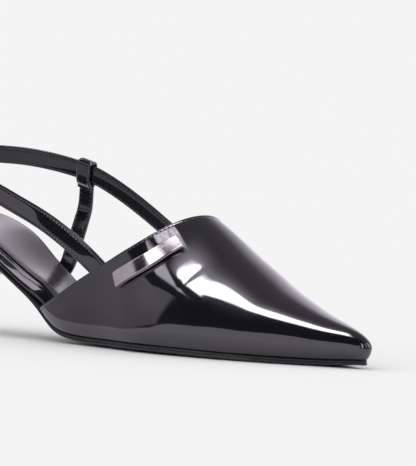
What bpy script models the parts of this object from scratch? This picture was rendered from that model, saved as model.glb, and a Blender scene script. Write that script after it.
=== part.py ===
# Pointed slingback pump, right shoe, open at the waist, with a bare metal bar on the vamp.
# Lengths are in metres. X runs from heel to toe, Y to the inner side of the foot, Z up.
import math
import bpy
import bmesh
import numpy as np

for old in list(bpy.data.objects):
    bpy.data.objects.remove(old)

# Driving sizes of the shoe
shoe_length = 0.2545
half_ball = 0.036
heel_rise = 0.0475
throat_rise = 0.0595
clearance = 0.0003

# Driving sizes of the pieces
upper_wall = 0.0014
hem_tuck = 0.0031
hem_rise = 0.0068
sole_thickness = 0.0031
sole_lip = 0.0006
rim_height = 0.0070
board_height = 0.0022
sock_thickness = 0.0009
sock_margin = 0.0034
strap_width = 0.0086
strap_thickness = 0.0020
loop_width = 0.0088
loop_thickness = 0.0012
bar_width = 0.0068
bar_thickness = 0.0021
tip_height = 0.0045
tip_back = 0.0095
tip_length = 0.0130
tip_half = 0.0062
loop_x = 0.0720
loop_foot_x = 0.0630
bar_lift = 0.0011
tread_crown = 0.0004
tip_crown = 0.0003

# Where things stand along the shoe, as shares of its length
topline_low = 0.338
throat_place = 0.647
board_end = 0.960
sock_end = 0.930
breast_place = 0.185

# The flat spots that the shoe stands on, four corners each: the back and front end of the spot, and
# its half widths there
tread_back = 0.2010
tread_front = 0.2240
tread_back_half = 0.0110
tread_front_half = 0.0080
foot_back = 0.0125
foot_front = 0.0218
foot_back_half = 0.0036
foot_front_half = 0.0052

# Places along the shoe from which the sling strap runs inside the wall, on the outer and inner side
sling_enters = {-1: 0.450, 1: 0.515}

# The bar on the vamp: along, and height as a share of the throat rise, at its ends and middle
bar_low = (0.559, 0.506)
bar_middle = (0.621, 0.659)
bar_high = (0.658, 0.806)
bar_middle_share = 0.53

# Outline of the shoe at its widest: place along the length, outer side and inner side as shares
# of half the ball width, both measured from the middle line
outline = [
    # along, outer, inner
    (0.0000, 0.000, 0.000),
    (0.0157, 0.310, 0.330),
    (0.0392, 0.530, 0.560),
    (0.0980, 0.690, 0.700),
    (0.1765, 0.670, 0.690),
    (0.2941, 0.570, 0.560),
    (0.4118, 0.790, 0.570),
    (0.5098, 0.860, 0.700),
    (0.6196, 0.997, 0.920),
    (0.7255, 0.914, 0.985),
    (0.8235, 0.703, 0.790),
    (0.9216, 0.308, 0.486),
    (0.9765, 0.100, 0.232),
    (0.9941, 0.030, 0.158),
    (1.0000, -0.064, 0.064),
]

# Underside of the sole, height as a share of the heel rise, and thickness of the sole as a share
# of its thickness under the ball
underside = [
    # along, height, thickness
    (0.0000, 1.000, 0.55),
    (0.0980, 0.935, 0.55),
    (0.1961, 0.740, 0.55),
    (0.2941, 0.395, 0.62),
    (0.4118, 0.050, 0.85),
    (0.4902, 0.016, 0.97),
    (0.6200, 0.014, 1.00),
    (0.7300, 0.006, 1.00),
    (0.7900, 0.000, 1.00),
    (0.8850, 0.000, 0.96),
    (0.9216, 0.004, 0.92),
    (1.0000, 0.032, 0.80),
]

# Top of the foot along the vamp: crest height and sideways place, shares of the throat rise and of
# half the ball width, and the height of the widest line above the sole as a share of the hem rise
crest = [
    # along, height, sideways, wide line
    (0.3000, 1.700, 0.020, 1.00),
    (0.5000, 1.345, 0.035, 1.00),
    (0.6470, 1.000, 0.055, 1.00),
    (0.7350, 0.736, 0.075, 1.00),
    (0.8235, 0.509, 0.090, 0.95),
    (0.9020, 0.363, 0.088, 0.85),
    (0.9765, 0.250, 0.070, 0.68),
    (1.0000, 0.150, 0.064, 0.58),
]

# Edge of the opening seen from the side: share of the way from its low end to the throat, and
# height there as a share of the rise between the two
opening = [
    # along, height
    (-0.200, -2.400),
    (-0.030, -0.300),
    (0.000, -0.020),
    (0.081, 0.050),
    (0.150, 0.095),
    (0.212, 0.158),
    (0.357, 0.305),
    (0.565, 0.503),
    (0.676, 0.612),
    (0.760, 0.697),
    (0.830, 0.782),
    (0.883, 0.857),
    (0.933, 0.940),
    (0.977, 1.022),
    (1.300, 1.700),
]

# Sling strap from its end in the outer side of the vamp round the heel to the inner side:
# place along, height as a share of the throat rise, side (-1 outer, 1 inner)
sling = [
    # along, height, side
    (0.580, 0.345, -1),
    (0.556, 0.405, -1),
    (0.530, 0.475, -1),
    (0.502, 0.550, -1),
    (0.468, 0.637, -1),
    (0.434, 0.722, -1),
    (0.396, 0.810, -1),
    (0.357, 0.891, -1),
    (0.318, 0.958, -1),
    (0.278, 1.020, -1),
    (0.238, 1.084, -1),
    (0.180, 1.168, -1),
    (0.110, 1.250, -1),
    (0.050, 1.310, -1),
    (0.015, 1.345, -1),
    (0.000, 1.368, 1),
    (0.015, 1.385, 1),
    (0.050, 1.398, 1),
    (0.110, 1.394, 1),
    (0.170, 1.372, 1),
    (0.225, 1.338, 1),
    (0.270, 1.300, 1),
    (0.304, 1.262, 1),
    (0.345, 1.193, 1),
    (0.392, 1.100, 1),
    (0.447, 0.978, 1),
    (0.490, 0.875, 1),
    (0.525, 0.790, 1),
    (0.560, 0.705, 1),
    (0.590, 0.630, 1),
]

# How far the sling strap stands from the middle line, as a share of half the ball width
sling_plan = [
    # along, outer, inner
    (0.000, 0.000, 0.000),
    (0.012, 0.250, 0.250),
    (0.031, 0.417, 0.417),
    (0.071, 0.556, 0.556),
    (0.125, 0.620, 0.620),
    (0.235, 0.640, 0.650),
    (0.353, 0.650, 0.645),
    (0.440, 0.664, 0.620),
    (0.530, 0.740, 0.585),
    (0.600, 0.800, 0.640),
]


def curve(places, heights):
    xs = np.array(places, float)
    ys = np.array(heights, float)
    step = np.diff(xs)
    rise = np.diff(ys) / step
    slope = np.zeros(len(xs))
    slope[0] = rise[0]
    slope[-1] = rise[-1]
    for k in range(1, len(xs) - 1):
        if rise[k - 1] * rise[k] > 0:
            before = 2 * step[k] + step[k - 1]
            after = step[k] + 2 * step[k - 1]
            slope[k] = (before + after) / (before / rise[k - 1] + after / rise[k])

    def at(x):
        x = float(min(max(x, xs[0]), xs[-1]))
        k = int(min(max(np.searchsorted(xs, x, side="right") - 1, 0), len(step) - 1))
        h = step[k]
        t = (x - xs[k]) / h
        near = (1 + 2 * t) * (1 - t) ** 2 * ys[k] + t * (1 - t) ** 2 * h * slope[k]
        far = t * t * (3 - 2 * t) * ys[k + 1] + t * t * (t - 1) * h * slope[k + 1]
        return near + far

    return at


def column(table, k):
    return [row[k] for row in table]


# Both ends of the shoe are round, so stations close up there: turn is 0 at the heel and 1 at the toe
def turn_of(along):
    return math.acos(1 - 2 * min(max(along, 0.0), 1.0)) / math.pi


def along_of(turn):
    return (1 - math.cos(math.pi * turn)) / 2


turns = [turn_of(a) for a in column(outline, 0)]
outer_share = curve(turns, column(outline, 1))
inner_share = curve(turns, column(outline, 2))
under_share = curve(column(underside, 0), column(underside, 1))
thick_share = curve(column(underside, 0), column(underside, 2))
crest_turns = [turn_of(a) for a in column(crest, 0)]
crest_height = curve(crest_turns, column(crest, 1))
crest_side = curve(crest_turns, column(crest, 2))
wide_share = curve(crest_turns, column(crest, 3))
opening_height = curve(column(opening, 0), column(opening, 1))
sling_outer = curve(column(sling_plan, 0), column(sling_plan, 1))
sling_inner = curve(column(sling_plan, 0), column(sling_plan, 2))


def wide_point(turn, side):
    share = outer_share(turn) if side < 0 else inner_share(turn)
    return np.array([shoe_length * along_of(turn), side * half_ball * share])


# Outline moved inward by a distance
def rail(turn, side, inward):
    small = 0.002
    low = max(turn - small, 0.0)
    high = min(turn + small, 1.0)
    if low == 0.0:
        way = np.array([0.0, side])
    elif high == 1.0:
        way = np.array([0.0, -side])
    else:
        way = wide_point(high, side) - wide_point(low, side)
    way = way / np.linalg.norm(way)
    normal = np.array([way[1], -way[0]]) * side
    return wide_point(turn, side) + normal * inward


def under_at(x):
    return heel_rise * under_share(x / shoe_length)


def sole_top_at(x):
    return under_at(x) + sole_thickness * thick_share(x / shoe_length)


# Outer skin of the upper: angle -90 is the widest line on the outer side, 0 the crest, 90 inner
def skin(turn, angle):
    side = -1 if angle < 0 else 1
    x, wide_y = wide_point(turn, side)
    middle = half_ball * crest_side(turn)
    if turn > 0.9999:
        middle = wide_y
    wide_z = sole_top_at(x) + clearance + hem_rise * wide_share(turn)
    top = max(throat_rise * crest_height(turn) - wide_z, 0.0) if turn < 0.9999 else 0.0
    lean = math.radians(abs(angle))
    y = middle + (wide_y - middle) * math.sin(lean)
    return np.array([x, y, wide_z + top * math.cos(lean)])


# Below the widest line the upper turns under to meet the sole
def hem(turn, side, depth):
    full = math.radians(70)
    lean = full * depth
    inward = hem_tuck * (1 - math.cos(lean)) / (1 - math.cos(full))
    x, y = rail(turn, side, inward)
    wide_x = shoe_length * along_of(turn)
    drop = hem_rise * wide_share(turn) * math.sin(lean) / math.sin(full)
    z = sole_top_at(wide_x) + clearance + hem_rise * wide_share(turn) - drop
    return np.array([x, y, z])


low_x = shoe_length * topline_low
throat_x = shoe_length * throat_place
low_z = sole_top_at(low_x) + clearance
throat_z = skin(turn_of(throat_place), 0)[2]


def opening_at(x):
    share = (x - low_x) / (throat_x - low_x)
    return low_z + (throat_z - low_z) * opening_height(share)


def find_edge(point_at):
    back = turn_of(topline_low - 0.06)
    front = turn_of(throat_place + 0.12)
    for _ in range(40):
        half = (back + front) / 2
        point = point_at(half)
        if point[2] > opening_at(point[0]):
            back = half
        else:
            front = half
    return (back + front) / 2


def add_object(name, points, faces):
    used = {}
    order = []
    keys = []
    for point in points:
        key = tuple(round(float(c), 7) for c in point)
        if key not in used:
            used[key] = len(order)
            order.append(key)
        keys.append(used[key])
    kept = []
    for face in faces:
        ring = []
        for corner in face:
            vertex = keys[corner]
            if not ring or ring[-1] != vertex:
                ring.append(vertex)
        if len(ring) > 1 and ring[0] == ring[-1]:
            ring.pop()
        if len(ring) > 2:
            kept.append(ring)
    mesh = bpy.data.meshes.new(name)
    mesh.from_pydata(order, [], kept)
    work = bmesh.new()
    work.from_mesh(mesh)
    bmesh.ops.recalc_face_normals(work, faces=work.faces)
    work.to_mesh(mesh)
    work.free()
    thing = bpy.data.objects.new(name, mesh)
    bpy.context.scene.collection.objects.link(thing)
    return thing


# Closed rings of points joined one after another; the ends are closed unless they shrink to a line
def loft(name, rings, cap_start=True, cap_end=True):
    size = len(rings[0])
    points = [p for ring in rings for p in ring]
    faces = []
    for r in range(len(rings) - 1):
        for c in range(size):
            n = (c + 1) % size
            faces.append((r * size + c, r * size + n, (r + 1) * size + n, (r + 1) * size + c))
    if cap_start:
        faces.append(tuple(reversed(range(size))))
    if cap_end:
        faces.append(tuple(range((len(rings) - 1) * size, len(rings) * size)))
    return add_object(name, points, faces)


def ease(share):
    share = min(max(share, 0.0), 1.0)
    return share * share * (3 - 2 * share)


# Ring across a flat piece of the bottom: an edge profile of (inward, height) pairs on both sides
def bottom_ring(turn, profile, dish=0.0):
    ring = []
    for inward, z in profile:
        x, y = rail(turn, -1, inward)
        ring.append((x, y, z))
    low = profile[-1]
    left = rail(turn, -1, low[0])
    right = rail(turn, 1, low[0])
    middle = (left + right) / 2
    ring.append((middle[0], middle[1], low[1]))
    for inward, z in reversed(profile):
        x, y = rail(turn, 1, inward)
        ring.append((x, y, z))
    high = profile[0]
    left = rail(turn, -1, high[0])
    right = rail(turn, 1, high[0])
    middle = (left + right) / 2
    wide = np.linalg.norm(right - left)
    ring.append((middle[0], middle[1], high[1] - dish * min(wide / half_ball, 1.0)))
    return ring


# Outsole with two lips and a groove along its side. Its tread is a little crowned, and what lies
# under the ball is a flat spot of four corners
def make_outsole():
    rings = []
    count = 46
    for k in range(count + 1):
        turn = k / count
        x = shoe_length * along_of(turn)
        low = under_at(x)
        crown = tread_crown * ease((0.5 - abs(turn - 0.5)) * 8)
        thick = sole_thickness * thick_share(x / shoe_length)
        edge = hem_tuck - sole_lip
        profile = [
            (edge + 0.0012, low + thick),
            (edge + 0.0003, low + thick * 0.92),
            (edge, low + thick * 0.70),
            (edge + 0.0005, low + thick * 0.56),
            (edge, low + thick * 0.42),
            (edge + 0.0002, low + crown + thick * 0.12),
            (edge + 0.0009, low + crown),
        ]
        ring = bottom_ring(turn, profile)
        middle = len(profile)
        x, y, z = ring[middle]
        left = (x, y, low)
        right = (x, y, low)
        if tread_back <= x <= tread_front:
            at_back = x < (tread_back + tread_front) / 2
            spot_x = tread_back if at_back else tread_front
            half = tread_back_half if at_back else tread_front_half
            spot_turn = turn_of(spot_x / shoe_length)
            spot = (wide_point(spot_turn, -1) + wide_point(spot_turn, 1)) / 2
            left = (spot_x, spot[1] - half, 0.0)
            right = (spot_x, spot[1] + half, 0.0)
        rings.append(ring[:middle] + [left, right] + ring[middle + 1:])
    return loft("outsole", rings, False, False)


# In the open waist the insole fills the whole width; inside the vamp it stays clear of the upper
def insole_edge(along):
    inside = hem_tuck + upper_wall + 2 * clearance
    inside = inside + 0.0012 * ease((along - 0.80) / 0.12)
    return hem_tuck + (inside - hem_tuck) * ease((along - topline_low + 0.045) / 0.03)


def insole_height(along):
    return rim_height + (board_height - rim_height) * ease((along - topline_low + 0.02) / 0.16)


def stations(first, last, count):
    start = turn_of(first)
    end = turn_of(last)
    return [start + (end - start) * k / count for k in range(count + 1)]


def make_insole():
    rings = []
    for turn in stations(0.0, board_end, 42):
        along = along_of(turn)
        x = shoe_length * along
        low = sole_top_at(x) + clearance
        high = low + insole_height(along)
        edge = insole_edge(along)
        profile = [
            (edge + 0.0022, high),
            (edge + 0.0006, high - 0.0004),
            (edge, high - 0.0014),
            (edge + 0.0002, low + 0.0004),
            (edge + 0.0008, low),
        ]
        rings.append(bottom_ring(turn, profile, 0.0008))
    return loft("insole", rings, False, True)


def make_sock():
    rings = []
    for turn in stations(0.0, sock_end, 38):
        along = along_of(turn)
        x = shoe_length * along
        low = sole_top_at(x) + clearance + insole_height(along) + clearance
        high = low + sock_thickness
        edge = insole_edge(along) + sock_margin
        profile = [(edge + 0.0004, high), (edge, high - 0.0004), (edge, low)]
        ring = bottom_ring(turn, profile, 0.0008)
        middle = len(profile)
        x, y, z = ring[middle]
        ring[middle] = (x, y, ring[-1][2] - sock_thickness)
        rings.append(ring)
    return loft("sock", rings, False, True)


# The upper is one wall: an outer skin, an inner skin one wall inside it, and their edges
def make_upper():
    rows = 24
    angles = [-90 + 180 * k / 30 for k in range(31)]
    depths = [1.0, 0.72, 0.36]
    lines = []
    for depth in depths:
        lines.append(lambda turn, d=depth: hem(turn, -1, d))
    for angle in angles:
        lines.append(lambda turn, a=angle: skin(turn, a))
    for depth in reversed(depths):
        lines.append(lambda turn, d=depth: hem(turn, 1, d))
    grid = []
    for line in lines:
        edge = find_edge(line)
        grid.append([line(1 - (1 - edge) * r / rows) for r in range(rows + 1)])

    places = {}
    order = []
    index = []
    for strip in grid:
        line = []
        for point in strip:
            key = tuple(round(float(c), 7) for c in point)
            if key not in places:
                places[key] = len(order)
                order.append(np.array(key))
            line.append(places[key])
        index.append(line)
    faces = []
    for c in range(len(index) - 1):
        for r in range(rows):
            ring = []
            for vertex in (index[c][r], index[c + 1][r], index[c + 1][r + 1], index[c][r + 1]):
                if vertex not in ring:
                    ring.append(vertex)
            if len(ring) > 2:
                faces.append(ring)

    # Skin normals, pointing out of the shoe
    normals = [np.zeros(3) for _ in order]
    for face in faces:
        across = np.cross(order[face[1]] - order[face[0]], order[face[-1]] - order[face[0]])
        for vertex in face:
            normals[vertex] = normals[vertex] + across
    heart = np.array([shoe_length * 0.7, 0.0, 0.012])
    agree = sum(np.dot(n, p - heart) for n, p in zip(normals, order))
    flip = 1 if agree > 0 else -1
    inner = []
    for vertex, point in enumerate(order):
        normal = normals[vertex] * flip
        normal = normal / np.linalg.norm(normal)
        inner.append(point - normal * upper_wall)
    feather = set(index[0]) | set(index[-1])
    for vertex in feather:
        normal = normals[vertex] * flip
        flat = np.array([normal[0], normal[1], 0.0])
        flat = flat / np.linalg.norm(flat)
        inner[vertex] = order[vertex] - flat * upper_wall

    # Folded edge round the opening
    fold = {}
    for line in index:
        top = line[-1]
        before = line[-2]
        way = order[top] - order[before]
        way = way / np.linalg.norm(way)
        fold[top] = (order[top] + inner[top]) / 2 + way * 0.00035

    count = len(order)
    points = list(order) + inner
    folded = {}
    for vertex, point in fold.items():
        folded[vertex] = len(points)
        points.append(point)
    shell = [list(face) for face in faces]
    shell += [[v + count for v in reversed(face)] for face in faces]
    used = {}
    for face in faces:
        for a, b in zip(face, face[1:] + face[:1]):
            used[(a, b)] = used.get((a, b), 0) + 1
    top_line = set(fold)
    for a, b in used:
        if (b, a) in used:
            continue
        if a in top_line and b in top_line and not (a in feather and b in feather):
            shell.append([b, a, folded[a], folded[b]])
            shell.append([folded[b], folded[a], a + count, b + count])
        else:
            ring = [b, a]
            if a in top_line:
                ring.append(folded[a])
            ring += [a + count, b + count]
            if b in top_line:
                ring.append(folded[b])
            shell.append(ring)
    return add_object("upper", points, shell)


# A strip with softly rounded edges swept along points, each with its outward and widthways ways
def strip(name, stops, width, thickness):
    rings = []
    w = width / 2
    t = thickness / 2
    soft = min(t * 0.7, 0.0006)
    section = [
        (-w, -t + soft), (-w, t - soft), (-w + soft, t), (w - soft, t),
        (w, t - soft), (w, -t + soft), (w - soft, -t), (-w + soft, -t),
    ]
    for centre, out, wide in stops:
        rings.append([tuple(centre + wide * a + out * b) for a, b in section])
    return loft(name, rings)


def unit(vector):
    return vector / np.linalg.norm(vector)


# Place on the outer skin at a given station and height on one side, with its outward way
def on_skin(along, z, side):
    turn = turn_of(along)
    wide_z = skin(turn, 90)[2]
    top = skin(turn, 0)[2]
    share = min(max((z - wide_z) / (top - wide_z), 0.0), 1.0)
    angle = side * math.degrees(math.acos(share))
    here = skin(turn, angle)
    ahead = skin(turn + 0.002, angle) - here
    across = skin(turn, angle + 0.5) - here
    normal = unit(np.cross(ahead, across))
    if normal[1] * side < 0:
        normal = -normal
    return here, normal


# The sling strap runs free round the heel and both ends lie inside the wall of the upper
def sling_stops():
    places = []
    tilt = math.radians(14)
    for along, height, side in sling:
        x = shoe_length * along
        z = throat_rise * height
        y = half_ball * (sling_inner(along) if side > 0 else -sling_outer(along))
        inside = ease((along - sling_enters[side]) / 0.05)
        if inside > 0:
            wall, normal = on_skin(along, z, side)
            lie = wall - normal * (upper_wall + clearance * 3.5 + strap_thickness / 2)
            y = y + (lie[1] - y) * inside
        places.append(np.array([x, y, z]))
    line = [curve(range(len(places)), [p[k] for p in places]) for k in range(3)]
    count = 2 * (len(places) - 1)
    back_row = column(sling, 0).index(0.0)
    flip = 0
    stops = []
    for k in range(count + 1):
        s = k / 2
        here = np.array([axis(s) for axis in line])
        before = np.array([axis(max(s - 0.25, 0)) for axis in line])
        after = np.array([axis(min(s + 0.25, len(places) - 1)) for axis in line])
        way = unit(after - before)
        out = np.array([way[1], -way[0], 0.0])
        if flip == 0:
            flip = 1 if out[1] < 0 else -1
        out = unit(out) * flip
        out = unit(out * math.cos(tilt) + np.array([0.0, 0.0, math.sin(tilt)]))
        along = here[0] / shoe_length
        side = -1 if s < back_row else 1
        inside = ease((along - sling_enters[side] + 0.04) / 0.09)
        if inside > 0:
            wall, normal = on_skin(along, here[2], side)
            out = unit(out * (1 - inside) + normal * inside)
        out = unit(out - way * np.dot(out, way))
        wide = unit(np.cross(way, out))
        if wide[2] < 0:
            wide = -wide
        stops.append((here, out, wide))
    return stops


sling_path = sling_stops()


def make_sling():
    return strip("sling_strap", sling_path, strap_width, strap_thickness)


# The side strap rises from the inner edge of the insole, folds over the sling strap and ends inside
def make_side_strap():
    best = None
    for centre, out, wide in sling_path:
        if centre[1] > 0 and (best is None or abs(centre[0] - loop_x) < abs(best[0][0] - loop_x)):
            best = (centre, out, wide)
    centre, out, wide = best
    way = unit(np.cross(out, wide))
    reach = strap_thickness / 2 + clearance + loop_thickness / 2
    high = strap_width / 2 + clearance + loop_thickness / 2
    foot_along = loop_foot_x / shoe_length
    foot_turn = turn_of(foot_along)
    foot_xy = rail(foot_turn, 1, insole_edge(foot_along) - clearance * 3 - loop_thickness / 2)
    foot_low = sole_top_at(loop_foot_x) + clearance * 2
    foot = np.array([foot_xy[0], foot_xy[1], foot_low])
    slope = (sole_top_at(loop_foot_x + 0.002) - sole_top_at(loop_foot_x - 0.002)) / 0.004
    along_sole = unit(np.array([1.0, 0.0, slope]))
    rim = foot + unit(np.array([-slope, 0.0, 1.0])) * rim_height * 0.8
    shift = loop_thickness / 2 + clearance / 2
    meet = centre - wide * (high + 0.0014)
    end = centre - wide * (high + 0.0030)
    low_join = centre - wide * (high + 0.0120)
    path = [foot, rim]
    outer_low = low_join + out * shift
    for share in (0.2, 0.4, 0.6, 0.8):
        here = rim + (outer_low - rim) * share
        here[0] = rim[0] + (outer_low[0] - rim[0]) * math.sin(share * math.pi / 2)
        path.append(here)
    path.append(outer_low)
    path.append(end + out * shift)
    path.append(meet + out * shift)
    path.append(centre - wide * (high * 0.85) + out * reach)
    path.append(centre + out * (reach + 0.0001))
    path.append(centre + wide * (strap_width / 2 - 0.0002) + out * reach)
    path.append(centre + wide * high * 0.98 + out * reach * 0.72)
    path.append(centre + wide * (high + 0.0001))
    path.append(centre + wide * high * 0.98 - out * reach * 0.72)
    path.append(centre + wide * (strap_width / 2 - 0.0002) - out * reach)
    path.append(centre - out * (reach + 0.0001))
    path.append(centre - wide * (high * 0.85) - out * reach)
    path.append(meet - out * shift)
    path.append(end - out * shift)
    stops = []
    for k, here in enumerate(path):
        before = path[max(k - 1, 0)]
        after = path[min(k + 1, len(path) - 1)]
        run = unit(after - before)
        share = min(k / 6, 1.0)
        across = unit(along_sole * (1 - share) + way * share * (1 if way[0] > 0 else -1))
        across = unit(across - run * np.dot(across, run))
        face = unit(np.cross(run, across))
        stops.append((here, face, across))
    return strip("side_strap", stops, loop_width, loop_thickness)


# Heel: from the seat under the sole down to a small end piece
def make_heel():
    levels = [0.0, 0.05, 0.12, 0.22, 0.34, 0.48, 0.62, 0.76, 0.88, 0.96, 1.0]
    steps = 16
    rings = []
    for level in levels:
        waist = 1 - (1 - level) ** 2.3
        ring = []
        for side in (-1, 1):
            for k in range(steps + 1):
                share = k / steps
                if side > 0:
                    share = 1 - share
                turn = turn_of(breast_place) * share
                x, y = rail(turn, side, hem_tuck)
                tip_x = tip_back + tip_length * math.sin(share * math.pi / 2) ** 1.6
                tip_y = side * tip_half * math.sin(min(share * 1.6, 1.0) * math.pi / 2)
                top = under_at(x) - clearance
                px = x + (tip_x - x) * waist
                py = y + (tip_y - y) * waist
                pz = top + (tip_height + clearance - top) * level
                ring.append((px, py, pz))
        rings.append(ring)
    return loft("heel", rings)


def make_heel_tip():
    steps = 16
    rings = []
    for z, inset in ((tip_height, 0.0001), (tip_height * 0.3, 0.0), (tip_crown, 0.0002)):
        ring = []
        for side in (-1, 1):
            for k in range(steps + 1):
                share = k / steps
                if side > 0:
                    share = 1 - share
                x = tip_back + inset + (tip_length - 2 * inset) * math.sin(share * math.pi / 2) ** 1.6
                y = side * (tip_half - inset) * math.sin(min(share * 1.6, 1.0) * math.pi / 2)
                ring.append((x, y, z))
        rings.append(ring)
    foot = []
    for x, y, z in rings[-1]:
        side = -1 if y < 0 else 1
        if x < (foot_back + foot_front) / 2:
            foot.append((foot_back, side * foot_back_half, 0.0))
        else:
            foot.append((foot_front, side * foot_front_half, 0.0))
    rings.append(foot)
    return loft("heel_tip", rings)


# The bar lies on the outer side of the vamp just under the opening, with its ends a little off
def make_bar():
    lift_way = unit(np.array([0.63, -0.78, 0.04]))
    stops = []
    normals = []
    shares = [0.0, bar_middle_share, 1.0]
    line_along = curve(shares, [bar_low[0], bar_middle[0], bar_high[0]])
    line_height = curve(shares, [bar_low[1], bar_middle[1], bar_high[1]])
    for k in range(9):
        share = k / 8
        here, normal = on_skin(line_along(share), throat_rise * line_height(share), -1)
        lift = bar_lift * (2 * share - 1) ** 2
        stops.append(here + normal * (clearance + bar_thickness / 2) + lift_way * lift)
        normals.append(normal)
    path = []
    for k, here in enumerate(stops):
        before = stops[max(k - 1, 0)]
        after = stops[min(k + 1, len(stops) - 1)]
        run = unit(after - before)
        face = unit(normals[k] - run * np.dot(normals[k], run))
        across = unit(np.cross(run, face))
        path.append((here, face, across))
    return strip("bar", path, bar_width, bar_thickness)


def material(name, color, metallic, roughness, coat=0.0):
    made = bpy.data.materials.new(name)
    made.use_nodes = True
    shader = made.node_tree.nodes["Principled BSDF"]
    shader.inputs["Base Color"].default_value = (*color, 1.0)
    shader.inputs["Metallic"].default_value = metallic
    shader.inputs["Roughness"].default_value = roughness
    shader.inputs["Coat Weight"].default_value = coat
    return made


patent = (0.012, 0.011, 0.014)
pieces = [
    (make_outsole(), material("outsole_rubber", (0.02, 0.02, 0.021), 0.0, 0.5)),
    (make_heel(), material("heel_patent", patent, 0.0, 0.12, 1.0)),
    (make_heel_tip(), material("tip_rubber", (0.02, 0.02, 0.02), 0.0, 0.6)),
    (make_insole(), material("insole_patent", patent, 0.0, 0.18, 1.0)),
    (make_sock(), material("sock_leather", (0.05, 0.047, 0.05), 0.0, 0.3)),
    (make_upper(), material("upper_patent", patent, 0.0, 0.08, 1.0)),
    (make_sling(), material("strap_patent", patent, 0.0, 0.12, 1.0)),
    (make_side_strap(), material("side_strap_patent", patent, 0.0, 0.14, 1.0)),
    (make_bar(), material("bar_metal", (0.45, 0.42, 0.40), 1.0, 0.2)),
]
for thing, look in pieces:
    thing.data.materials.append(look)

# Put the middle of the whole shoe over the origin with its lowest point at height 0
corners = [v.co for thing, look in pieces for v in thing.data.vertices]
low = [min(c[k] for c in corners) for k in range(3)]
high = [max(c[k] for c in corners) for k in range(3)]
for thing, look in pieces:
    for vertex in thing.data.vertices:
        vertex.co.x -= (low[0] + high[0]) / 2
        vertex.co.y -= (low[1] + high[1]) / 2
        vertex.co.z -= low[2]
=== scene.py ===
# Slingback pump in black patent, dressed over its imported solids
import math
import bpy
import numpy as np
from mathutils import Matrix, Vector
from mathutils.bvhtree import BVHTree


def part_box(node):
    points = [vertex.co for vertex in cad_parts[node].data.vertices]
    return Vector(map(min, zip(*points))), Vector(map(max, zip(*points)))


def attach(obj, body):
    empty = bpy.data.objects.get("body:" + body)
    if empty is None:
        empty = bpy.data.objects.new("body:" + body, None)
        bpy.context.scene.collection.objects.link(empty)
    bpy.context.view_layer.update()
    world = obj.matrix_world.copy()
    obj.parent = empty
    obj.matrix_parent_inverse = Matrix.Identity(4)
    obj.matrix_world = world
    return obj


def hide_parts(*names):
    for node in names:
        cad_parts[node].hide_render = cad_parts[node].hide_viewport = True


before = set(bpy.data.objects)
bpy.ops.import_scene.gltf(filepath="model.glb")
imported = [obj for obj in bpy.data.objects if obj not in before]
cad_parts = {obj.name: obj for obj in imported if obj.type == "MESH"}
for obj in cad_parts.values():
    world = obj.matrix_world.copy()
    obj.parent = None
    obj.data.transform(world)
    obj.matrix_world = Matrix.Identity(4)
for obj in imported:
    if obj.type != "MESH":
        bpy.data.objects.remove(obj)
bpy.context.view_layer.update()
print("frame loaded:", len(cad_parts), "nodes")

# Shape of the last, in metres, with the sizes and tables of the solids
last = {
    "length": 0.2545,
    "halfBall": 0.036,
    "heelRise": 0.0475,
    "throatRise": 0.0595,
    "gap": 0.0003,
    "wall": 0.0014,
    "hemTuck": 0.0031,
    "hemRise": 0.0068,
    "hemPress": 0.0005,  # only here: the glued edge leaves no light between it and the sole
    "hemTurn": 70,       # degrees
    "tuckLess": 0.32,    # share that the tuck loses toward the point
    "soleThickness": 0.0031,
    "soleLip": 0.0006,
    "toplineLow": 0.338,
    "throatPlace": 0.647,
    # along, outer, inner
    "outline": [
        (0.0000, 0.000, 0.000), (0.0157, 0.310, 0.330), (0.0392, 0.530, 0.560),
        (0.0980, 0.690, 0.700), (0.1765, 0.670, 0.690), (0.2941, 0.570, 0.560),
        (0.4118, 0.790, 0.570), (0.5098, 0.860, 0.700), (0.6196, 0.997, 0.920),
        (0.7255, 0.914, 0.985), (0.8235, 0.703, 0.790), (0.9216, 0.308, 0.486),
        (0.9765, 0.100, 0.232), (0.9941, 0.030, 0.158), (1.0000, -0.064, 0.064),
    ],
    # along, height, thickness
    "underside": [
        (0.0000, 1.000, 0.55), (0.0980, 0.935, 0.55), (0.1961, 0.740, 0.55),
        (0.2941, 0.395, 0.62), (0.4118, 0.050, 0.85), (0.4902, 0.016, 0.97),
        (0.6200, 0.014, 1.00), (0.7300, 0.006, 1.00), (0.7900, 0.000, 1.00),
        (0.8850, 0.000, 0.96), (0.9216, 0.004, 0.92), (1.0000, 0.032, 0.80),
    ],
    # along, height, sideways, wide line
    "crest": [
        (0.3000, 1.700, 0.020, 1.00), (0.5000, 1.345, 0.035, 1.00), (0.6470, 1.000, 0.055, 1.00),
        (0.7350, 0.736, 0.075, 1.00), (0.8235, 0.509, 0.090, 0.95), (0.9020, 0.363, 0.088, 0.85),
        (0.9765, 0.250, 0.070, 0.68), (1.0000, 0.150, 0.064, 0.58),
    ],
    # share of the way, height
    "opening": [
        (-0.200, -2.400), (-0.030, -0.300), (0.000, -0.020), (0.081, 0.050), (0.150, 0.095),
        (0.212, 0.158), (0.357, 0.305), (0.565, 0.503), (0.676, 0.612), (0.760, 0.697),
        (0.830, 0.782), (0.883, 0.857), (0.933, 0.940), (0.977, 1.022), (1.300, 1.700),
    ],
}


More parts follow.
